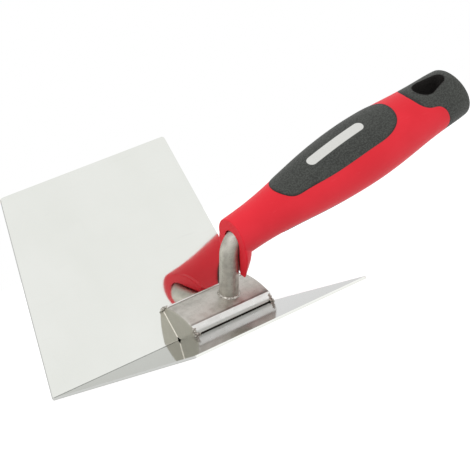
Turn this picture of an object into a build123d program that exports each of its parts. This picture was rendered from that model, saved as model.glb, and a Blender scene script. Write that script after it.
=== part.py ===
"""Inside corner trowel: a folded stainless blade, a welded saddle and shank, and a moulded two-part handle.

The solids are built in the bisector frame of the blade and turned at the end: X runs along the fold from
the front tip to the handle, Y goes across, and Z is the bisector of the two wings.
In the finished frame the trowel lies on its floor wing, with the origin at the middle of the box's base.
"""
import math
import os

from build123d import *

# Blade: one sheet, folded along a sharp line
FOLD_LENGTH = 102.0
WING_WIDTH = 83.0
FRONT_SLANT = 20.4
FOLD_ANGLE = 103.4
SHEET = 1.0
FOLD_INNER_RADIUS = 0.6
WING_CORNER_RADIUS = 1.2

# Saddle: a pressed cap that bridges the fold
SADDLE_FRONT = 61.4
SADDLE_FOOT = 14.0
SADDLE_LIP = 1.5
SADDLE_BULGE = 0.5
SADDLE_CROWN = 12.7
SADDLE_SHEET = 1.5
SADDLE_PLATE_HALF = 8.2
SADDLE_PLATE_SAG = 0.95
SADDLE_BEAD_RISE = 0.3
SADDLE_EDGE_RADIUS = 2.4
SADDLE_END_RADIUS = 0.8
SADDLE_FOLD_GAP = 1.6
SADDLE_INNER_EASE = 0.9
RIM_MARGIN = 0.3

# Shank: a round bar, upright at the saddle and bent back into the handle
BAR_RADIUS = 4.05
SHANK_X = 87.0
SHANK_BEND_RADIUS = 9.0
TANG_LENGTH = 52.0
TANG_FLAT = 3.2
TANG_FLAT_LENGTH = 24.0
WELD_LEG = 0.8
TACK_RADIUS = 1.5
TACK_INSET = 0.4
TACK_HEIGHT = 0.9
TACK_OVERHANG = 0.3

# Handle: stations are (distance along the axis, mean radius of the oval there)
AXIS_X = 99.8
AXIS_Z = 41.7
AXIS_RISE = 12.9
AXIS_ARCH = 0.7
HANDLE_LENGTH = 111.8
STATIONS = (
    (-16.0, 8.5), (0.0, 9.05), (14.0, 10.3), (31.0, 12.5), (49.0, 14.05), (63.0, 14.2),
    (79.0, 13.2), (95.0, 12.05), (HANDLE_LENGTH, 11.0),
)
NECK_END = 20.0
OVAL_WIDE = 1.07
OVAL_LOW = 0.94
BUTT_RADIUS = 3.0

# Nose: a skirt that wraps the back of the shank
NOSE_FACE_X = 87.7
NOSE_FACE_TOP = 43.0
NOSE_FACE_LEAN = 6.6
NOSE_RIM_RADIUS = 0.5
SKIRT = ((22.3, 7.2, 7.1), (26.0, 7.8, 8.1), (31.0, 8.7, 9.3), (38.5, 8.4, 8.3))
SLOT_RADIUS = 4.75
SLOT_TOP = 43.4
SLOT_DEPTH = 14.0
BORE_PLAY = 0.02

# Soft pads and cap, moulded over the core
PAD_DEPTH = 2.0
PAD_PROUD = 0.25
PAD_OUTLINE = (
    (12.0, 0.0), (13.2, 4.2), (16.0, 7.2), (22.0, 8.7), (34.0, 10.4), (47.0, 11.3),
    (59.0, 11.4), (68.0, 10.6), (74.0, 7.4), (76.2, 0.0),
)
LOWER_PAD_START = 5.0
LOWER_PAD_SCALE = 0.82
CAP_WALL = 2.0
CAP_BORDER = ((86.0, 0.0), (86.6, 4.5), (88.2, 8.0), (91.5, 9.8), (94.6, 10.4), (97.4, 12.2), (97.9, 16.0))
HOLE_FRONT = (96.2, 5.2)
HOLE_REAR = (103.8, 3.2)
HOLE_LINING = 1.6

# Reach of the cutting prisms, well past the handle's skin, and the slack used to pick edges and points
CUT_REACH = 30.0
NOSE_CUT = 60.0
NEAR = 0.01

LAY_DOWN = 90 - FOLD_ANGLE / 2
HALF_FOLD = math.radians(FOLD_ANGLE / 2)
RISE = math.radians(AXIS_RISE)
AXIS = Vector(math.cos(RISE), 0, math.sin(RISE))
AXIS_UP = Vector(-math.sin(RISE), 0, math.cos(RISE))
AXIS_START = Vector(AXIS_X, 0, AXIS_Z)
AXIS_PLANE = Plane(origin=AXIS_START, x_dir=AXIS, z_dir=AXIS_UP)


def on_wing(side, distance, height):
    """Point in the YZ section at a distance from the fold along a wing and a height above its inner face."""
    y = side * (distance * math.sin(HALF_FOLD) - height * math.cos(HALF_FOLD))
    z = distance * math.cos(HALF_FOLD) + height * math.sin(HALF_FOLD)
    return (0, y, z)


def closed_face(points):
    """Face with straight sides through the points."""
    return make_face(Polyline(*points, close=True))


def prism_x(face, start, end):
    """Solid between two stations along the fold, from a section at X = 0."""
    return Pos(start, 0, 0) * extrude(face, amount=end - start, dir=(1, 0, 0))


def make_blade():
    """Folded sheet whose front edges slant back from the fold's tip."""
    fold_depth = SHEET / math.sin(HALF_FOLD)
    section = closed_face([
        (0, 0, 0),
        on_wing(1, WING_WIDTH, 0),
        on_wing(1, WING_WIDTH, -SHEET),
        (0, 0, -fold_depth),
        on_wing(-1, WING_WIDTH, -SHEET),
        on_wing(-1, WING_WIDTH, 0),
    ])
    fold_points = section.vertices().filter_by(lambda v: abs(v.Y) < SHEET)
    section = fillet(fold_points.sort_by(Axis.Z)[-1], FOLD_INNER_RADIUS)
    outer = section.vertices().sort_by(Axis.Z)[0]
    section = fillet(outer, FOLD_INNER_RADIUS + SHEET)
    blade = prism_x(section, 0, FOLD_LENGTH)
    past_tip = -SHEET
    past_edge = WING_WIDTH + 2 * SHEET
    slant = closed_face([
        (past_tip, 0, 0),
        (0, 0, 0),
        (FRONT_SLANT, WING_WIDTH, 0),
        (FRONT_SLANT, past_edge, 0),
        (past_tip, past_edge, 0),
    ])
    cutter = Rot(LAY_DOWN, 0, 0) * extrude(slant, amount=2 * SHEET, both=True)
    blade -= cutter
    blade -= mirror(cutter, about=Plane.XZ)
    upright = blade.edges().filter_by(lambda e: abs(e.length - SHEET) < NEAR)
    tips = upright.filter_by(lambda e: abs(e.center().Y) > WING_WIDTH / 2)
    return fillet(tips, WING_CORNER_RADIUS)


def saddle_section(inset, floor):
    """Section of the cap, drawn in from its outer skin: an arched plate between two beads and rolled edges."""
    foot = SADDLE_FOOT - inset
    edge = SADDLE_PLATE_HALF
    plate_edge = SADDLE_CROWN - SADDLE_PLATE_SAG - inset
    bead = plate_edge + SADDLE_BEAD_RISE
    left = on_wing(-1, foot + SADDLE_BULGE, SADDLE_LIP - inset)
    right = on_wing(1, foot + SADDLE_BULGE, SADDLE_LIP - inset)
    plate = ThreePointArc((0, -edge, plate_edge), (0, 0, SADDLE_CROWN - inset), (0, edge, plate_edge))
    walls = Polyline(
        (0, edge, plate_edge),
        (0, edge + SADDLE_BEAD_RISE, bead),
        right,
        on_wing(1, foot, floor),
        on_wing(1, SADDLE_FOLD_GAP, floor),
        on_wing(-1, SADDLE_FOLD_GAP, floor),
        on_wing(-1, foot, floor),
        left,
        (0, -edge - SADDLE_BEAD_RISE, bead),
        (0, -edge, plate_edge),
    )
    face = make_face([plate, walls])
    shoulders = face.vertices().filter_by(lambda v: abs(abs(v.Y) - right[1]) < NEAR)
    shoulders = shoulders.sort_by(Axis.Z)[-2:]
    return fillet(shoulders, SADDLE_EDGE_RADIUS - SADDLE_INNER_EASE * inset)


def make_saddle_block():
    """Cap as a solid block, with its long and end edges rounded."""
    block = prism_x(saddle_section(0, 0), SADDLE_FRONT, FOLD_LENGTH)
    roll_end = on_wing(1, SADDLE_FOOT, 0)[2] + RIM_MARGIN
    ends = block.edges().filter_by(lambda e: e.bounding_box().size.X < NEAR)
    rims = ends.filter_by(lambda e: e.bounding_box().min.Z > roll_end)
    return fillet(rims, SADDLE_END_RADIUS)


def make_saddle(block):
    """Pressed cap: the block hollowed from below, closed by a cheek at each end."""
    section = saddle_section(SADDLE_SHEET, -SADDLE_SHEET)
    return block - prism_x(section, SADDLE_FRONT + SADDLE_SHEET, FOLD_LENGTH - SADDLE_SHEET)


def shank_path():
    """Centre line of the bar: up from the saddle, round the bend and along the handle's axis."""
    turn = math.pi / 2 - RISE
    reach = SHANK_BEND_RADIUS * math.tan(turn / 2)
    corner = AXIS_START + AXIS * ((SHANK_X - AXIS_X) / AXIS.X)
    bend_start = corner - Vector(0, 0, reach)
    bend_end = corner + AXIS * reach
    foot = Vector(SHANK_X, 0, SADDLE_CROWN - 2 * SADDLE_SHEET)
    rise = Line(foot, bend_start)
    bend = TangentArc(bend_start, bend_end, tangent=(0, 0, 1))
    tang = Line(bend_end, bend_end + AXIS * TANG_LENGTH)
    return rise, bend, tang


def bar_along(path, start, direction, radius):
    """Round bar of a given radius along a path."""
    disc = Plane(origin=start, z_dir=direction) * Circle(radius)
    return sweep(disc, path=path)


def make_shank(block):
    """Bent bar with two flats near the tang's end, cut to the saddle's crown."""
    rise, bend, tang = shank_path()
    bar = bar_along(Curve() + [rise, bend, tang], rise @ 0, rise % 0, BAR_RADIUS)
    around = 4 * BAR_RADIUS
    flats = Box(TANG_FLAT_LENGTH, around, around) - Box(TANG_FLAT_LENGTH, 2 * TANG_FLAT, around)
    middle = (tang @ 1) - AXIS * (TANG_FLAT_LENGTH / 2)
    bar -= Plane(origin=middle, x_dir=AXIS, z_dir=AXIS_UP) * flats
    return bar - block


def make_shank_weld(block):
    """Ring of weld metal at the foot of the bar."""
    foot = SADDLE_CROWN - 2 * SADDLE_SHEET
    outer = BAR_RADIUS + WELD_LEG
    profile = closed_face([
        (SHANK_X + BAR_RADIUS, 0, foot),
        (SHANK_X + outer, 0, foot),
        (SHANK_X + outer, 0, SADDLE_CROWN),
        (SHANK_X + BAR_RADIUS, 0, SADDLE_CROWN + WELD_LEG),
    ])
    ring = revolve(profile, axis=Axis((SHANK_X, 0, 0), (0, 0, 1)))
    return ring - block


def make_tacks(block, blade):
    """Four tack welds, one at each corner of the cap."""
    beads = []
    for side in (-1, 1):
        for x, way in ((SADDLE_FRONT, -1), (FOLD_LENGTH - TACK_RADIUS, 1)):
            foot = on_wing(side, SADDLE_FOOT - TACK_INSET, TACK_HEIGHT)
            bead = Pos(x + way * TACK_OVERHANG, foot[1], foot[2]) * Sphere(TACK_RADIUS)
            beads.append((bead - block - blade).solids().sort_by(SortBy.VOLUME)[-1])
    return Compound(children=beads)


def station_plane(distance):
    """Plane across the handle at a distance along its slightly arched axis: X across, Y up."""
    middle = HANDLE_LENGTH / 2
    arch = AXIS_ARCH * (1 - ((distance - middle) / middle) ** 2)
    return Plane(origin=AXIS_START + AXIS * distance + AXIS_UP * arch, x_dir=(0, 1, 0), z_dir=AXIS)


def make_grip(growth):
    """Oval grip through all stations, grown or shrunk all round; the neck blends from round to oval."""
    sections = []
    for distance, radius in STATIONS:
        blend = min(max(distance / NECK_END, 0), 1)
        wide = radius * (1 + blend * (OVAL_WIDE - 1)) + growth
        high = radius * (1 + blend * (OVAL_LOW - 1)) + growth
        sections.append(station_plane(distance) * Ellipse(wide, high))
    return loft(sections)


def make_skirt():
    """Round skirt, wider towards the top, around the upright stretch of the bar."""
    return loft([Pos(SHANK_X, 0, height) * Ellipse(along, across) for height, along, across in SKIRT])


def make_nosed_grip(grip):
    """Grip with its skirt, cut off by the leaning front face, whose rim is rounded."""
    front = Pos(NOSE_FACE_X, 0, NOSE_FACE_TOP) * Rot(0, -NOSE_FACE_LEAN, 0)
    block = front * Pos(-NOSE_CUT / 2, 0, 0) * Box(NOSE_CUT, NOSE_CUT, 2 * NOSE_CUT)
    nosed = grip + make_skirt() - block
    normal = Vector(1, 0, 0).rotate(Axis.Y, -NOSE_FACE_LEAN)
    top = Vector(NOSE_FACE_X, 0, NOSE_FACE_TOP)
    rim = nosed.edges().filter_by(lambda e: all(abs((e @ t - top).dot(normal)) < NEAR for t in (0, 0.5, 1)))
    return fillet(rim, NOSE_RIM_RADIUS)


def slot():
    """Clearance for the bar, open to the front and below."""
    rise, bend, _ = shank_path()
    crown = SLOT_TOP - SLOT_RADIUS
    stem = Pos(0, crown / 2) * Rectangle(2 * SLOT_RADIUS, crown)
    profile = Plane.YZ * (Pos(0, crown) * Circle(SLOT_RADIUS) + stem)
    front = Pos(SHANK_X - SLOT_DEPTH, 0, 0) * extrude(profile, amount=SLOT_DEPTH, dir=(1, 0, 0))
    around = bar_along(Curve() + [rise, bend], rise @ 0, rise % 0, SLOT_RADIUS)
    return front + around


def tang_bore():
    """Round bore that the bar's tang is pressed into."""
    tang = shank_path()[-1]
    return bar_along(tang, tang @ 0, AXIS, BAR_RADIUS + BORE_PLAY)


def handle_prism(outline):
    """Prism from the handle's axis upwards, from an outline and its mirror image joined in one smooth loop."""
    mirrored = [(along, -side) for along, side in reversed(outline[1:-1])]
    loop = Spline(*[Vector(along, side) for along, side in [*outline, *mirrored]], periodic=True)
    return AXIS_PLANE * extrude(make_face(loop), amount=CUT_REACH)


def teardrop(growth):
    """Teardrop prism for the hanging hole, grown all round."""
    discs = [Pos(x, 0) * Circle(radius + growth) for x, radius in (HOLE_FRONT, HOLE_REAR)]
    face = make_hull(discs[0].edges() + discs[1].edges())
    return AXIS_PLANE * extrude(face, amount=CUT_REACH, both=True)


def cap_region():
    """Everything behind the wavy border between the core and the butt cap."""
    last_along, last_side = CAP_BORDER[-1]
    far = HANDLE_LENGTH + CUT_REACH
    border = Spline(*[Vector(along, side) for along, side in CAP_BORDER])
    back = Polyline((last_along, last_side), (far, last_side), (far, 0))
    half = Curve() + [border, back]
    other = mirror(half, about=Plane.XZ)
    face = make_face(list(half.edges()) + list(other.edges()))
    return AXIS_PLANE * extrude(face, amount=CUT_REACH, both=True)


def pad_outline(start, width_share):
    """Pad outline that starts at a distance along the axis and ends where the upper pad ends."""
    first = PAD_OUTLINE[0][0]
    last = PAD_OUTLINE[-1][0]
    stretch = (last - start) / (last - first)
    return [(start + (along - first) * stretch, side * width_share) for along, side in PAD_OUTLINE]


def make_handle():
    """Hard core with its nose and butt stub, two soft pads let into it and a butt cap with a hanging hole."""
    grip = make_grip(0)
    butt_edge = grip.edges().sort_by(lambda e: e.center().X)[-1]
    grip = fillet(butt_edge, BUTT_RADIUS)
    inner = make_grip(-PAD_DEPTH)
    proud = make_grip(PAD_PROUD)

    upper = handle_prism(pad_outline(PAD_OUTLINE[0][0], 1))
    lower = mirror(handle_prism(pad_outline(LOWER_PAD_START, LOWER_PAD_SCALE)), about=AXIS_PLANE)
    region = cap_region()
    hole = teardrop(0)

    past_stub = HANDLE_LENGTH - CAP_WALL + CUT_REACH
    stub_end = AXIS_PLANE * Pos(past_stub, 0, 0) * Box(2 * CUT_REACH, 2 * CUT_REACH, 2 * CUT_REACH)
    stub = (make_grip(-CAP_WALL) & region) - stub_end - teardrop(HOLE_LINING)
    cap = (grip & region) - stub - hole

    core = make_nosed_grip(grip) - slot() - tang_bore() - region
    core -= (upper - inner)
    core -= (lower - inner)
    core += stub
    top_pad = (proud & upper) - inner
    bottom_pad = (proud & lower) - inner
    return {"handle_core": core, "top_grip_pad": top_pad, "bottom_grip_pad": bottom_pad, "butt_cap": cap}


def build():
    """All pieces by node name, lying on the floor wing with the origin under the middle of the trowel."""
    block = make_saddle_block()
    blade = make_blade()
    pieces = {
        "blade": blade,
        "saddle": make_saddle(block),
        "shank": make_shank(block),
        "shank_weld": make_shank_weld(block),
        "corner_tacks": make_tacks(block, blade),
    }
    pieces.update(make_handle())
    laid = {name: Rot(LAY_DOWN, 0, 0) * piece for name, piece in pieces.items()}
    boxes = [piece.bounding_box() for piece in laid.values()]
    middle_x = (min(box.min.X for box in boxes) + max(box.max.X for box in boxes)) / 2
    middle_y = (min(box.min.Y for box in boxes) + max(box.max.Y for box in boxes)) / 2
    to_origin = Pos(-middle_x, -middle_y, -min(box.min.Z for box in boxes))
    return {name: to_origin * piece for name, piece in laid.items()}


if __name__ == "__main__":
    os.makedirs("parts", exist_ok=True)
    for node, piece in build().items():
        export_step(piece, f"parts/{node}.step")
        print(node, round(piece.volume, 1), "mm3")
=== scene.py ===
"""Looks of the inside corner trowel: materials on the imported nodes, lumpy welds and a soft studio.

The trowel's own frame has its origin at the tip of the fold. Along runs down the fold towards the
handle, across points to the standing wing's side, and up bisects the wings. Lengths in the
materials are millimetres of that frame.
"""
import math

import bmesh
import bpy
from mathutils import Matrix, Vector, noise


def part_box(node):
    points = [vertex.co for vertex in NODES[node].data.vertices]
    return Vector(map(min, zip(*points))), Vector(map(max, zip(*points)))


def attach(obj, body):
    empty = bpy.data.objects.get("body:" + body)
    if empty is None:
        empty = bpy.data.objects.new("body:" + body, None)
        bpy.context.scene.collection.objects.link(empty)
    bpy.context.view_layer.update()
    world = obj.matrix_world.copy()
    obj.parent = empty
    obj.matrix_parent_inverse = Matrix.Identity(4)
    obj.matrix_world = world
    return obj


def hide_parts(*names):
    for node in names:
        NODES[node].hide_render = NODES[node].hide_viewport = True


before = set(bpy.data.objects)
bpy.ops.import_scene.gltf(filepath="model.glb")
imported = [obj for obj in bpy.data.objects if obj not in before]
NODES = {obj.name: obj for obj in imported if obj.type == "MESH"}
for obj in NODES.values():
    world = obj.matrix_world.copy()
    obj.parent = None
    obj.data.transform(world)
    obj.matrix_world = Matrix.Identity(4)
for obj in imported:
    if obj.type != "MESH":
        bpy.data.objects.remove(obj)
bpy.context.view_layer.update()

MM = 0.001

# The trowel's own frame, read off the blade
FOLD_ANGLE = 103.4
HALF_FOLD = math.radians(FOLD_ANGLE / 2)
LAY_DOWN = math.radians(90 - FOLD_ANGLE / 2)
SHEET = 1.0
WING_WIDTH = 83.0
BLADE_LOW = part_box("blade")[0]
FOLD_TIP = Vector((BLADE_LOW.x, BLADE_LOW.y + WING_WIDTH * MM, SHEET * MM))
ALONG = Vector((1, 0, 0))
ACROSS = Vector((0, math.cos(LAY_DOWN), math.sin(LAY_DOWN)))
UP = Vector((0, -math.sin(LAY_DOWN), math.cos(LAY_DOWN)))
LYING_NORMAL = Vector((0, 0, 1))
STANDING_NORMAL = Vector((0, math.sin(2 * LAY_DOWN), -math.cos(2 * LAY_DOWN)))

# Handle axis in that frame
AXIS_START = (99.8, 0.0, 41.7)
AXIS_RISE = math.radians(12.9)

# Saddle in that frame: its ends, a cheek's foot, the plate's edge, crown and arch, and the bar
SADDLE_FRONT = 61.4
SADDLE_REAR = 102.0
SADDLE_FOOT = (11.0, 9.4)
PLATE_EDGE = 8.2
PLATE_CROWN = 12.7
PLATE_ARCH = 35.9
SHANK_FOOT = (87.0, 0.0, 12.4)
BAR_RADIUS = 4.05

# Tack welds: a chain of beads up each corner and some spatter, as offsets from it and radii
REAR_TACK_INSET = 1.2
REAR_TACK_REACH = 0.3
TACK_ENDS = (SADDLE_FRONT, SADDLE_REAR - REAR_TACK_INSET)
TACKS = [(x, side * SADDLE_FOOT[0], SADDLE_FOOT[1]) for side in (-1, 1) for x in TACK_ENDS]
TACK_BEADS = (
    ((-0.3, -0.1, 0.0), 0.95),
    ((0.1, 0.5, -0.5), 0.6),
    ((-0.4, -0.9, 0.9), 0.7),
    ((-1.2, 0.2, -0.1), 0.55),
    ((-0.2, -1.7, 1.6), 0.5),
    ((-0.9, -1.4, 1.7), 0.4),
    ((0.9, 0.8, -0.5), 0.2),
    ((0.5, -1.3, 0.7), 0.25),
    ((-2.1, 0.4, 0.0), 0.35),
)
LUMP_SQUASH = (1.1, 1.0, 0.9)
LUMP_HEIGHT = 0.28
LUMP_FINENESS = 0.9
LUMP_FRACTAL = (0.8, 2.0, 3)
LUMP_SUBDIVISIONS = 4
CORNER_SEED = 7.3
BEAD_SEED = 2.1

# Fillet weld round the bar: its leg, and its section outward and upward in shares of the leg
BEAD_LEG = 0.72
BEAD_WOBBLE = 0.22
BEAD_RIPPLES = 2.6
BEAD_STEPS = 120
BEAD_PROFILE = (
    (-0.15, 1.0), (0.12, 0.98), (0.45, 0.72), (0.78, 0.40), (1.0, 0.10), (1.0, -0.4), (-0.15, -0.4),
)

# Rounding of the soft pieces' rims, where they meet the hard core
RIM_OFFSET = 0.42
RIM_ANGLE = math.radians(48)
RIM_SEGMENTS = 3
WELD_GAP = 0.001

# Blank print on the top pad: centre along and across the handle's axis, and half sizes
LABEL_CENTRE = (45.5, -0.9)
LABEL_HALF = (15.0, 2.5)
LABEL_CORNER = 2.4
LABEL_BLUR = 0.12

# Colours, sRGB 0-255
MIRROR_DULL = (226, 228, 222)
MIRROR_BRIGHT = (236, 237, 233)
MIRROR_LYING_SHADE = (186, 187, 184)
MIRROR_SCRATCH = (205, 206, 203)
SHEARED_EDGE = (196, 197, 194)
STEEL_GRAIN = (214, 210, 202)
STEEL_PIT = (96, 92, 86)
HEAT_STRAW = (160, 140, 116)
HEAT_BLUE = (104, 100, 106)
SADDLE_TONE = (203, 200, 194)
SADDLE_DARK = (180, 176, 169)
SADDLE_EDGE_HIGHLIGHT = (236, 236, 234)
SADDLE_CREASE_SHADE = (104, 99, 92)
SADDLE_CHEEK_SHADE = (150, 147, 134)
JOINT_SHADOW = (34, 26, 22)
JOINT_GLINT = (246, 240, 232)
BAR_TONE = (198, 195, 186)
BAR_DARK = (172, 168, 160)
WELD_DARK = (120, 112, 104)
WELD_BRIGHT = (206, 202, 194)
WELD_SCALE = (92, 78, 66)
RED_DEEP = (222, 30, 46)
RED_FULL = (230, 36, 52)
RED_GRAIN = (236, 52, 64)
RED_RUBBED = (238, 84, 94)
RUBBER_DEEP = (40, 42, 39)
RUBBER_FULL = (52, 54, 50)
RUBBER_GRAIN = (80, 83, 79)
RUBBER_DUST = (112, 112, 106)
RUBBER_SEAM_SHADE = (24, 18, 17)
INK = (212, 212, 208)
INK_WORN = (170, 171, 167)

# Gloss of the materials, as linear tint and specular levels
MIRROR_TINT = (0.72, 0.72, 0.72, 1)
RED_SPECULAR = 0.25
RUBBER_SPECULAR = 0.35

# Studio, in metres: the table lies a hair below the wing, so that the two faces don't coincide,
# and the white surroundings dim below its level
FLOOR_HALF = 3.0
FLOOR_DROP = 0.05 * MM
FLOOR_TONE = (0.5, 0.5, 0.5, 1)
FLOOR_GLOW = 0.54
WORLD_BELOW = 0.75
WORLD_DIMMING = (-0.6, -0.1)
KEY_SPOT = Vector((-0.9, -0.6, 0.7))
KEY_TARGET = Vector((0, 0, 0.03))
KEY_SIZE = 0.8
KEY_POWER = 2
WHITE = (1, 1, 1, 1)

# Camera: a long lens, close to level with the lying wing and rolled
CAMERA_FROM_TIP = Vector((-276.99, -630.54, 56.28)) * MM
CAMERA_VIEW = Vector((0.51776, 0.85481, -0.03502))
CAMERA_ROLL = 22.08
CAMERA_LENS = 134.4
SENSOR_WIDTH = 36.0
CLIP_START = 0.01


def place(along, across, up):
    """Scene point, in metres, of a point in the trowel's own frame, in millimetres."""
    return FOLD_TIP + (ALONG * along + ACROSS * across + UP * up) * MM


def linear(colour):
    """sRGB 0-255 triple as a linear RGBA."""
    def one(value):
        value /= 255
        return value / 12.92 if value <= 0.04045 else ((value + 0.055) / 1.055) ** 2.4
    return tuple(one(value) for value in colour) + (1.0,)


def add(piece):
    """Links an object into the scene and gives it back."""
    bpy.context.scene.collection.objects.link(piece)
    return piece


class Look:
    """A material under construction: a node tree around one Principled shader."""

    def __init__(self, name, metallic=0.0):
        self.material = bpy.data.materials.new(name)
        self.material.use_nodes = True
        self.tree = self.material.node_tree
        self.shader = self.tree.nodes["Principled BSDF"]
        self.shader.inputs["Metallic"].default_value = metallic
        coordinates = self.node("ShaderNodeTexCoord")
        self.position = coordinates.outputs["Object"]
        self.normal = coordinates.outputs["Normal"]
        self.own = self.frame_vector(FOLD_TIP, (ALONG, ACROSS, UP))

    def node(self, kind, inputs=None, **settings):
        """A node with its settings made and its inputs, by index or name, set or linked."""
        made = self.tree.nodes.new(kind)
        for key, value in settings.items():
            setattr(made, key, value)
        for key, value in (inputs or {}).items():
            if isinstance(value, bpy.types.NodeSocket):
                self.tree.links.new(value, made.inputs[key])
            else:
                made.inputs[key].default_value = value
        return made

    def math(self, operation, first, second=0.0):
        """Result of an operation on two numbers."""
        return self.node("ShaderNodeMath", {0: first, 1: second}, operation=operation).outputs[0]

    def plus(self, first, second):
        """Sum of two numbers."""
        return self.math("ADD", first, second)

    def less(self, first, second):
        """Difference of two numbers."""
        return self.math("SUBTRACT", first, second)

    def times(self, first, second):
        """Product of two numbers."""
        return self.math("MULTIPLY", first, second)

    def most(self, first, second):
        """The larger of two numbers."""
        return self.math("MAXIMUM", first, second)

    def vector(self, operation, first, second=(0, 0, 0)):
        """Outputs, Vector and Value, of an operation on two vectors."""
        inputs = {0: first, 1: tuple(second)}
        return self.node("ShaderNodeVectorMath", inputs, operation=operation).outputs

    def combine(self, parts):
        """Vector of some parts, by index."""
        return self.node("ShaderNodeCombineXYZ", parts).outputs[0]

    def split(self, vector):
        """The three parts of a vector."""
        return self.node("ShaderNodeSeparateXYZ", {0: vector}).outputs[:]

    def frame_vector(self, origin, axes):
        """Position in millimetres in a frame given by its origin and three unit axes."""
        moved = self.vector("SUBTRACT", self.position, origin)["Vector"]
        parts = {}
        for index, axis in enumerate(axes):
            parts[index] = self.vector("DOT_PRODUCT", moved, axis / MM)["Value"]
        return self.combine(parts)

    def noise(self, scale, detail=2.0, stretch=(1, 1, 1), rough=0.5):
        """Noise with its scale per millimetre, squeezed along each axis by stretch."""
        squeezed = self.vector("MULTIPLY", self.own, stretch)["Vector"]
        inputs = {"Vector": squeezed, "Scale": scale, "Detail": detail, "Roughness": rough}
        return self.node("ShaderNodeTexNoise", inputs).outputs["Fac"]

    def spread(self, value, low, high, start=0.0, end=1.0):
        """Value mapped from low..high to start..end, clamped and eased."""
        inputs = {"Value": value, "From Min": low, "From Max": high, "To Min": start, "To Max": end}
        made = self.node("ShaderNodeMapRange", inputs, interpolation_type="SMOOTHSTEP")
        return made.outputs["Result"]

    def blend(self, share, first, second):
        """Two colours, each a socket or an sRGB triple, mixed by a share."""
        inputs = {0: share}
        for key, value in ((6, first), (7, second)):
            inputs[key] = value if isinstance(value, bpy.types.NodeSocket) else linear(value)
        return self.node("ShaderNodeMix", inputs, data_type="RGBA").outputs[2]

    def facing(self, *axes):
        """How squarely the surface faces along any of some axes, either way: 1 is square on."""
        best = None
        for axis in axes:
            size = self.math("ABSOLUTE", self.vector("DOT_PRODUCT", self.normal, axis)["Value"])
            best = size if best is None else self.most(best, size)
        return best

    def near(self, points, radius):
        """1 close to any of some points in the own frame, fading to 0 at a radius."""
        total = None
        for point in points:
            share = self.spread(self.vector("DISTANCE", self.own, point)["Value"], radius, 0.0)
            total = share if total is None else self.most(total, share)
        return total

    def colour(self, socket):
        """Links the base colour."""
        self.tree.links.new(socket, self.shader.inputs["Base Color"])

    def roughness(self, socket):
        """Links the roughness."""
        self.tree.links.new(socket, self.shader.inputs["Roughness"])

    def bump(self, *layers):
        """Bump layers, each a (height socket, depth in millimetres) pair, over one another."""
        normal = None
        for height, depth in layers:
            inputs = {"Height": height, "Distance": depth * MM, "Strength": 1.0}
            if normal is not None:
                inputs["Normal"] = normal
            normal = self.node("ShaderNodeBump", inputs).outputs["Normal"]
        self.tree.links.new(normal, self.shader.inputs["Normal"])

    def on(self, piece):
        """Puts the material on a piece, alone."""
        piece.data.materials.clear()
        piece.data.materials.append(self.material)


def polished_stainless():
    """Mirror-polished sheet: cloudy haze, polishing lines, hairline scratches, sheared edges, and
    painted shade on the lying wing.
    """
    look = Look("polished_stainless", metallic=1.0)
    clouds = look.noise(0.035, detail=3.0)
    lines = look.noise(1.0, detail=3.0, stretch=(0.02, 4.0, 4.0))
    hairs = look.spread(look.noise(1.0, detail=1.0, stretch=(0.05, 2.6, 2.2)), 0.72, 0.76)
    crossed = look.spread(look.noise(1.0, detail=1.0, stretch=(2.4, 0.07, 0.07)), 0.74, 0.78)
    scratches = look.most(hairs, crossed)
    edge = look.spread(look.facing(LYING_NORMAL, STANDING_NORMAL), 0.93, 0.75)
    lying = look.spread(look.facing(LYING_NORMAL), 0.6, 0.95)

    tone = look.blend(clouds, MIRROR_DULL, MIRROR_BRIGHT)
    # Painted shade: the lying wing is tinted darker to stand in for its dimmer reflection.
    tone = look.blend(look.times(lying, 0.55), tone, MIRROR_LYING_SHADE)
    tone = look.blend(look.times(scratches, 0.12), tone, MIRROR_SCRATCH)
    look.colour(look.blend(edge, tone, SHEARED_EDGE))
    look.shader.inputs["Specular Tint"].default_value = MIRROR_TINT

    polish = look.plus(look.spread(clouds, 0.3, 0.7, 0.035, 0.07), look.times(scratches, 0.06))
    polish = look.plus(polish, look.spread(lines, 0.3, 0.7, 0.0, 0.015))
    look.roughness(look.most(polish, look.times(edge, 0.32)))
    look.bump((lines, 0.0003), (scratches, -0.0004), (look.noise(0.02, detail=1.0), 0.02))
    return look


def satin_steel(name, tone, dark, heated, heat_radius, stretch, roughness):
    """Dull drawn or pressed steel, mottled, with die lines, pits and heat colour by the welds.

    Gives the look with its colour, roughness and bump layers, not yet linked to the shader.
    """
    look = Look(name, metallic=1.0)
    mottle = look.noise(0.35, detail=5.0, rough=0.62)
    grain = look.noise(1.0, detail=3.0, stretch=stretch)
    pits = look.spread(look.noise(2.2), 0.64, 0.72)

    body = look.blend(look.spread(mottle, 0.32, 0.68), dark, tone)
    body = look.blend(look.spread(grain, 0.35, 0.65, 0.0, 0.22), body, STEEL_GRAIN)
    body = look.blend(look.times(pits, 0.5), body, STEEL_PIT)
    patchy = look.spread(mottle, 0.25, 0.7, 0.5, 1.0)
    heat = look.times(look.near(heated, heat_radius), patchy)
    body = look.blend(look.spread(heat, 0.08, 0.45, 0.0, 0.2), body, HEAT_STRAW)
    body = look.blend(look.spread(heat, 0.45, 0.9, 0.0, 0.4), body, HEAT_BLUE)

    rough = look.spread(mottle, 0.3, 0.7, *roughness)
    rough = look.plus(rough, look.spread(grain, 0.3, 0.7, -0.05, 0.05))
    return look, body, rough, [(mottle, 0.02), (grain, 0.008), (pits, -0.015)]


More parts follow.
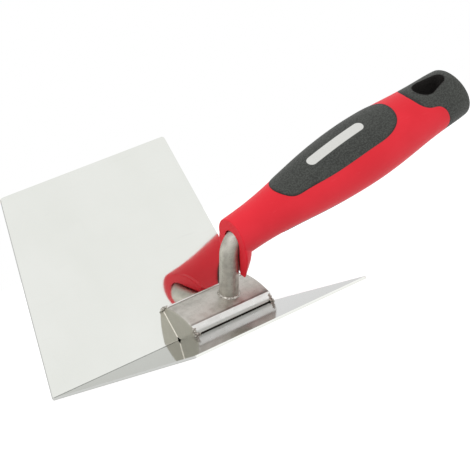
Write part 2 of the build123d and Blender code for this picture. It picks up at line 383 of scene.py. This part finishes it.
def saddle_steel():
    """Pressed saddle: satin plate, a painted highlight on the rolled edges, painted shade in the
    creases and on the cheeks, and a painted shadow along the joint.
    """
    look, body, rough, layers = satin_steel(
        "pressed_steel", SADDLE_TONE, SADDLE_DARK, heated=TACKS + [SHANK_FOOT], heat_radius=5.5,
        stretch=(0.12, 1.4, 1.4), roughness=(0.36, 0.5))
    _, across, up = look.split(look.own)
    side = look.math("ABSOLUTE", across)
    end_on = look.spread(look.facing(ALONG), 0.6, 0.85)
    skin = look.less(1.0, end_on)

    # Painted highlight along the rolled edges, broken up by noise; the same band is made a little
    # glossier.
    band = look.times(look.spread(side, PLATE_EDGE - 0.2, PLATE_EDGE), skin)
    highlight_patchiness = look.spread(look.noise(0.6, detail=3.0, stretch=(0.3, 1, 1)), 0.2, 0.55, 0.7, 1.0)
    edge_highlight = look.times(band, highlight_patchiness)
    body = look.blend(look.times(edge_highlight, 0.85), body, SADDLE_EDGE_HIGHLIGHT)
    rough = look.less(rough, look.times(edge_highlight, 0.1))

    # Painted shade in the crease between the plate and the rolled edge.
    crease_shade = look.times(look.spread(side, PLATE_EDGE - 1.2, PLATE_EDGE - 0.6),
                        look.spread(side, PLATE_EDGE - 0.05, PLATE_EDGE - 0.25))
    body = look.blend(look.times(look.times(crease_shade, skin), 0.5), body, SADDLE_CREASE_SHADE)
    # Painted shade on the end cheeks, chosen by the way they face.
    body = look.blend(look.times(end_on, 0.55), body, SADDLE_CHEEK_SHADE)

    # Painted shadow along the joint with the blade, and a painted highlight where a cheek meets the
    # standing wing.
    gap = look.less(look.times(up, math.sin(HALF_FOLD)), look.times(side, math.cos(HALF_FOLD)))
    joint = look.spread(gap, 0.6, 0.25)
    body = look.blend(look.times(joint, skin), body, JOINT_SHADOW)
    glint = look.times(look.times(joint, end_on), look.math("GREATER_THAN", across, 0.0))
    look.colour(look.blend(glint, body, JOINT_GLINT))
    look.roughness(rough)
    look.bump(*layers)
    return look


def bar_steel():
    """Drawn bar, dull grey, with lines along its upright stretch."""
    look, body, rough, layers = satin_steel(
        "bar_steel", BAR_TONE, BAR_DARK, heated=[SHANK_FOOT], heat_radius=5.0,
        stretch=(1.2, 1.2, 0.08), roughness=(0.44, 0.54))
    look.colour(body)
    look.roughness(rough)
    look.bump(*layers)
    return look


def weld_metal(name):
    """Weld metal: rippled, brighter on the crests, with dark scale."""
    look = Look(name, metallic=1.0)
    ripple = look.noise(1.6, detail=3.0, rough=0.6)
    scale = look.spread(look.noise(3.5), 0.55, 0.7)
    body = look.blend(look.spread(ripple, 0.3, 0.65), WELD_DARK, WELD_BRIGHT)
    look.colour(look.blend(look.times(scale, 0.45), body, WELD_SCALE))
    look.roughness(look.spread(ripple, 0.3, 0.7, 0.5, 0.26))
    look.bump((ripple, 0.04), (scale, 0.02))
    return look


def moulded_red():
    """Hard red plastic: a fine spark-eroded grain, faint flow clouds and rub marks."""
    look = Look("moulded_red")
    clouds = look.noise(0.05, detail=3.0)
    grain = look.noise(3.2, rough=0.6)
    rubs = look.spread(look.noise(1.0, stretch=(0.09, 0.9, 0.9)), 0.66, 0.74)
    body = look.blend(look.spread(clouds, 0.3, 0.7), RED_DEEP, RED_FULL)
    body = look.blend(look.spread(grain, 0.35, 0.65, 0.0, 0.10), body, RED_GRAIN)
    look.colour(look.blend(look.times(rubs, 0.10), body, RED_RUBBED))
    rough = look.spread(grain, 0.3, 0.7, 0.44, 0.54)
    look.roughness(look.plus(rough, look.times(rubs, 0.08)))
    look.bump((grain, 0.025), (clouds, 0.05))
    look.shader.inputs["Specular IOR Level"].default_value = RED_SPECULAR
    return look


def soft_grip(name, printed=False):
    """Soft dark grey rubber: stippled grain, specks of dust, and painted shade along the rims."""
    look = Look(name)
    clouds = look.noise(0.08, detail=3.0)
    cells = look.node("ShaderNodeTexVoronoi", {"Vector": look.own, "Scale": 1.9})
    stipple = look.spread(cells.outputs["Distance"], 0.0, 0.6)
    grain = look.noise(1.5, detail=4.0, rough=0.7)
    dust = look.spread(look.noise(4.0, detail=1.0), 0.70, 0.78)
    body = look.blend(look.spread(clouds, 0.3, 0.7), RUBBER_DEEP, RUBBER_FULL)
    body = look.blend(look.spread(grain, 0.40, 0.62, 0.0, 0.6), body, RUBBER_GRAIN)
    body = look.blend(look.times(dust, 0.35), body, RUBBER_DUST)
    layers = [(stipple, 0.03), (grain, 0.03)]
    if printed:
        label = label_mask(look)
        ink = look.blend(look.spread(grain, 0.45, 0.75, 0.0, 0.18), INK, INK_WORN)
        body = look.blend(label, body, ink)
        layers.append((label, 0.02))
    # Painted shade in the seam where the rounded rims meet the hard core.
    rim = look.node("ShaderNodeAttribute", attribute_name="rim").outputs["Fac"]
    look.colour(look.blend(look.times(rim, 0.8), body, RUBBER_SEAM_SHADE))
    look.roughness(look.spread(grain, 0.3, 0.7, 0.66, 0.54))
    look.bump(*layers)
    look.shader.inputs["Specular IOR Level"].default_value = RUBBER_SPECULAR
    return look


def label_mask(look):
    """1 inside the printed bar on the upper side of the handle, 0 outside."""
    axis = ALONG * math.cos(AXIS_RISE) + UP * math.sin(AXIS_RISE)
    lift = UP * math.cos(AXIS_RISE) - ALONG * math.sin(AXIS_RISE)
    on_handle = look.frame_vector(place(*AXIS_START), (axis, ACROSS, lift))
    along, across, height = look.split(on_handle)
    reach = {}
    for index, part in enumerate((along, across)):
        offset = look.math("ABSOLUTE", look.less(part, LABEL_CENTRE[index]))
        reach[index] = look.most(look.less(offset, LABEL_HALF[index] - LABEL_CORNER), 0.0)
    distance = look.vector("LENGTH", look.combine(reach))["Value"]
    inside = look.spread(distance, LABEL_CORNER + LABEL_BLUR, LABEL_CORNER - LABEL_BLUR)
    return look.times(inside, look.math("GREATER_THAN", height, 0.0))


def soften(node, look):
    """Copy of a soft node with its sharp rims rounded over, in the node's place."""
    mesh = NODES[node].data.copy()
    work = bmesh.new()
    work.from_mesh(mesh)
    bmesh.ops.remove_doubles(work, verts=work.verts, dist=WELD_GAP * MM)
    closed = [edge for edge in work.edges if len(edge.link_faces) == 2]
    rims = [edge for edge in closed if edge.calc_face_angle(0.0) > RIM_ANGLE]
    # Marks the rounded rims, which the material darkens as painted seam shade.
    seam_shade_layer = work.verts.layers.float.new("rim")
    rounded = bmesh.ops.bevel(
        work, geom=rims, offset=RIM_OFFSET * MM, offset_type="OFFSET", segments=RIM_SEGMENTS,
        profile=0.5, affect="EDGES", clamp_overlap=True)
    for vertex in rounded["verts"]:
        vertex[seam_shade_layer] = 1.0
    for face in work.faces:
        face.smooth = True
    bmesh.ops.recalc_face_normals(work, faces=work.faces)
    work.to_mesh(mesh)
    work.free()
    for layer in [item for item in mesh.attributes if item.name == "custom_normal"]:
        mesh.attributes.remove(layer)
    piece = add(bpy.data.objects.new(node + "_rounded", mesh))
    look.on(piece)
    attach(piece, "root")
    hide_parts(node)


def add_lump(work, centre, radius, seed):
    """Adds a bead of weld metal to a mesh: a squashed sphere pushed in and out by noise."""
    ball = bmesh.ops.create_icosphere(
        work, subdivisions=LUMP_SUBDIVISIONS, radius=radius * MM)
    for vertex in ball["verts"]:
        spot = vertex.co / MM * LUMP_FINENESS + Vector((seed, 0, 0))
        vertex.co *= 1 + LUMP_HEIGHT * noise.fractal(spot, *LUMP_FRACTAL)
        squashed = (part * share for part, share in zip(vertex.co, LUMP_SQUASH))
        vertex.co = Vector(squashed) + centre


def make_tack_welds():
    """Four irregular tack welds in place of the plain ones."""
    mesh = bpy.data.meshes.new("tack_welds")
    work = bmesh.new()
    for corner, (x, across, up) in enumerate(TACKS):
        side = math.copysign(1, across)
        reach = -1 if x == SADDLE_FRONT else REAR_TACK_REACH
        for index, ((forward, outward, upward), radius) in enumerate(TACK_BEADS):
            centre = place(x + reach * forward, across + side * outward, up + upward)
            add_lump(work, centre, radius, CORNER_SEED * corner + BEAD_SEED * index)
    for face in work.faces:
        face.smooth = True
    work.to_mesh(mesh)
    work.free()
    welds = add(bpy.data.objects.new("tack_welds", mesh))
    weld_metal("tack_weld_metal").on(welds)
    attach(welds, "root")
    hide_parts("corner_tacks")


def make_foot_weld():
    """Soft-edged fillet bead round the bar's foot, standing on the saddle's arched plate."""
    mesh = bpy.data.meshes.new("foot_weld")
    work = bmesh.new()
    rings = []
    for step in range(BEAD_STEPS):
        angle = 2 * math.pi * step / BEAD_STEPS
        out = Vector((math.cos(angle), math.sin(angle), 0))
        leg = BEAD_LEG * (1 + BEAD_WOBBLE * noise.noise(out * BEAD_RIPPLES))
        ring = []
        for outward, upward in BEAD_PROFILE:
            radius = BAR_RADIUS + outward * leg
            across = out.y * radius
            plate = PLATE_CROWN - PLATE_ARCH + math.sqrt(PLATE_ARCH ** 2 - across ** 2)
            spot = place(SHANK_FOOT[0] + out.x * radius, across, plate + upward * leg)
            ring.append(work.verts.new(spot))
        rings.append(ring)
    count = len(BEAD_PROFILE)
    for step, ring in enumerate(rings):
        following = rings[(step + 1) % BEAD_STEPS]
        for index in range(count):
            after = (index + 1) % count
            face = work.faces.new((ring[index], following[index], following[after], ring[after]))
            face.smooth = True
    bmesh.ops.recalc_face_normals(work, faces=work.faces)
    work.to_mesh(mesh)
    work.free()
    weld = add(bpy.data.objects.new("foot_weld", mesh))
    weld_metal("foot_weld_metal").on(weld)
    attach(weld, "root")
    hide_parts("shank_weld")


def make_floor():
    """Pale, softly glowing table."""
    mesh = bpy.data.meshes.new("floor")
    signs = ((-1, -1), (1, -1), (1, 1), (-1, 1))
    corners = [(x * FLOOR_HALF, y * FLOOR_HALF, -FLOOR_DROP) for x, y in signs]
    mesh.from_pydata(corners, [], [(0, 1, 2, 3)])
    floor = add(bpy.data.objects.new("floor", mesh))
    table = Look("light_table")
    table.shader.inputs["Base Color"].default_value = FLOOR_TONE
    table.shader.inputs["Emission Color"].default_value = WHITE
    table.shader.inputs["Emission Strength"].default_value = FLOOR_GLOW
    table.on(floor)
    floor.visible_diffuse = False


def make_world():
    """White surroundings, dimmer below the table's level."""
    world = bpy.data.worlds.new("studio")
    bpy.context.scene.world = world
    world.use_nodes = True
    tree = world.node_tree
    background = tree.nodes["Background"]
    background.inputs["Color"].default_value = WHITE
    parts = tree.nodes.new("ShaderNodeSeparateXYZ")
    tree.links.new(tree.nodes.new("ShaderNodeTexCoord").outputs["Generated"], parts.inputs[0])
    level = tree.nodes.new("ShaderNodeMapRange")
    low, high = WORLD_DIMMING
    limits = {"From Min": low, "From Max": high, "To Min": WORLD_BELOW, "To Max": 1.0}
    for key, value in limits.items():
        level.inputs[key].default_value = value
    tree.links.new(parts.outputs["Z"], level.inputs["Value"])
    tree.links.new(level.outputs["Result"], background.inputs["Strength"])


def make_key_light():
    """Square soft light, high in front of the trowel's tip."""
    data = bpy.data.lights.new("key", "AREA")
    data.size = KEY_SIZE
    data.energy = KEY_POWER
    light = add(bpy.data.objects.new("key", data))
    light.location = KEY_SPOT
    light.rotation_euler = (KEY_TARGET - KEY_SPOT).to_track_quat("-Z", "Y").to_euler()


def make_camera():
    """Camera beyond the lying wing's free edge, looking across it at the standing wing."""
    data = bpy.data.cameras.new("camera")
    data.lens = CAMERA_LENS
    data.sensor_width = SENSOR_WIDTH
    data.clip_start = CLIP_START
    camera = add(bpy.data.objects.new("camera", data))
    aim = CAMERA_VIEW.to_track_quat("-Z", "Y").to_matrix().to_4x4()
    roll = Matrix.Rotation(math.radians(-CAMERA_ROLL), 4, "Z")
    camera.matrix_world = Matrix.Translation(FOLD_TIP + CAMERA_FROM_TIP) @ aim @ roll
    bpy.context.scene.camera = camera


polished_stainless().on(NODES["blade"])
saddle_steel().on(NODES["saddle"])
bar_steel().on(NODES["shank"])
moulded_red().on(NODES["handle_core"])
soften("top_grip_pad", soft_grip("soft_grip_printed", printed=True))
soften("bottom_grip_pad", soft_grip("soft_grip"))
soften("butt_cap", soft_grip("soft_cap"))
make_tack_welds()
make_foot_weld()

make_floor()
make_world()
make_key_light()
make_camera()
bpy.context.scene.view_settings.view_transform = "Standard"
